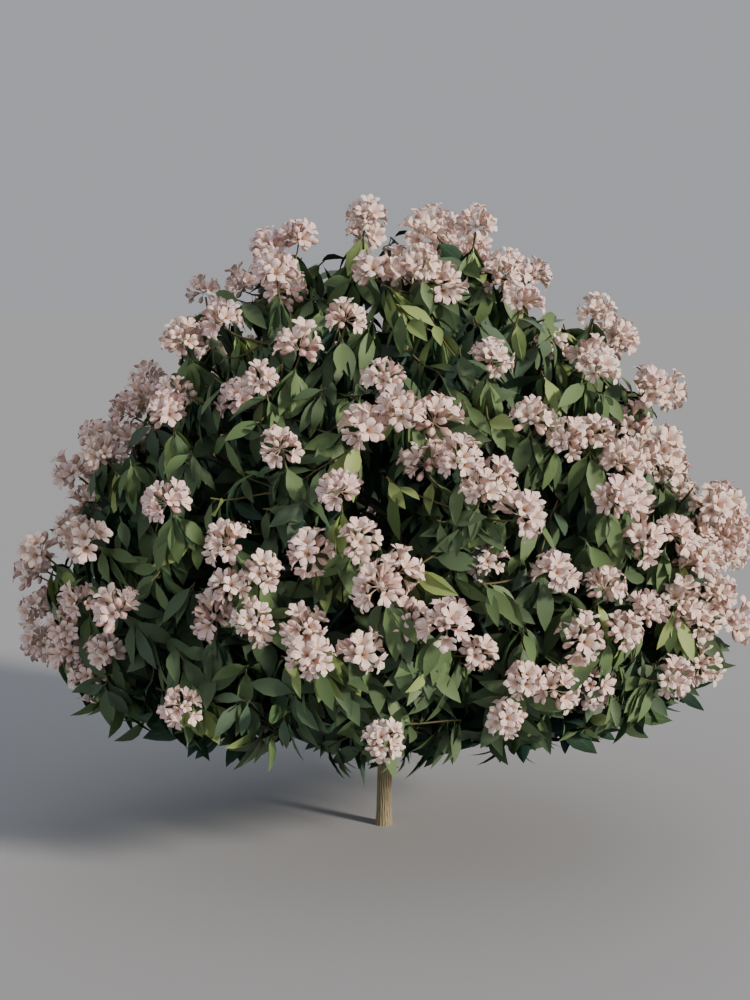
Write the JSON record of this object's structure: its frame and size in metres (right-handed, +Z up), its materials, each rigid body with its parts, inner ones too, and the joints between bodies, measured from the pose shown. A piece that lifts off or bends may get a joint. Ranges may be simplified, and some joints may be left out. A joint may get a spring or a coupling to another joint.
{
  "type": "rhododendron shrub",
  "caption": "Flowering rhododendron shrub with a short trunk, spreading boughs and a domed crown of leaf whorls and round blush-pink flower trusses.",
  "frame": {"origin": "middle of the flat cut under the trunk, at ground level", "axes": "+Z up along the trunk, +X to the right of the picture's view, -Y towards the viewer"},
  "size_m": [1.9256, 1.7576, 1.6338],
  "materials": {
    "bark": "dry khaki-brown bark with upright furrows",
    "foliage": "leathery green leaves, satin, with pale blush-pink blossom"
  },
  "bodies": {
    "root": {"bough_back": "bark", "bough_back_left": "bark", "bough_front": "bark", "bough_front_left": "bark", "bough_right": "bark", "foliage_shoulder_01": "foliage", "foliage_shoulder_02": "foliage", "foliage_shoulder_03": "foliage", "foliage_shoulder_04": "foliage", "foliage_shoulder_05": "foliage", "foliage_shoulder_06": "foliage", "foliage_skirt_01": "foliage", "foliage_skirt_02": "foliage", "foliage_skirt_03": "foliage", "foliage_skirt_04": "foliage", "foliage_skirt_05": "foliage", "foliage_skirt_06": "foliage", "foliage_skirt_07": "foliage", "foliage_skirt_08": "foliage", "foliage_skirt_09": "foliage", "foliage_skirt_10": "foliage", "foliage_top_01": "foliage", "foliage_top_02": "foliage", "foliage_waist_01": "foliage", "foliage_waist_02": "foliage", "foliage_waist_03": "foliage", "foliage_waist_04": "foliage", "foliage_waist_05": "foliage", "foliage_waist_06": "foliage", "foliage_waist_07": "foliage", "foliage_waist_08": "foliage", "foliage_waist_09": "foliage", "foliage_waist_10": "foliage", "leader": "bark", "limb_shoulder_01": "bark", "limb_shoulder_02": "bark", "limb_shoulder_03": "bark", "limb_shoulder_04": "bark", "limb_shoulder_05": "bark", "limb_shoulder_06": "bark", "limb_skirt_01": "bark", "limb_skirt_02": "bark", "limb_skirt_03": "bark", "limb_skirt_04": "bark", "limb_skirt_05": "bark", "limb_skirt_06": "bark", "limb_skirt_07": "bark", "limb_skirt_08": "bark", "limb_skirt_09": "bark", "limb_skirt_10": "bark", "limb_top_02": "bark", "limb_waist_02": "bark", "limb_waist_04": "bark", "limb_waist_06": "bark", "limb_waist_08": "bark", "limb_waist_10": "bark", "trunk": "bark"}
  },
  "joints": []
}
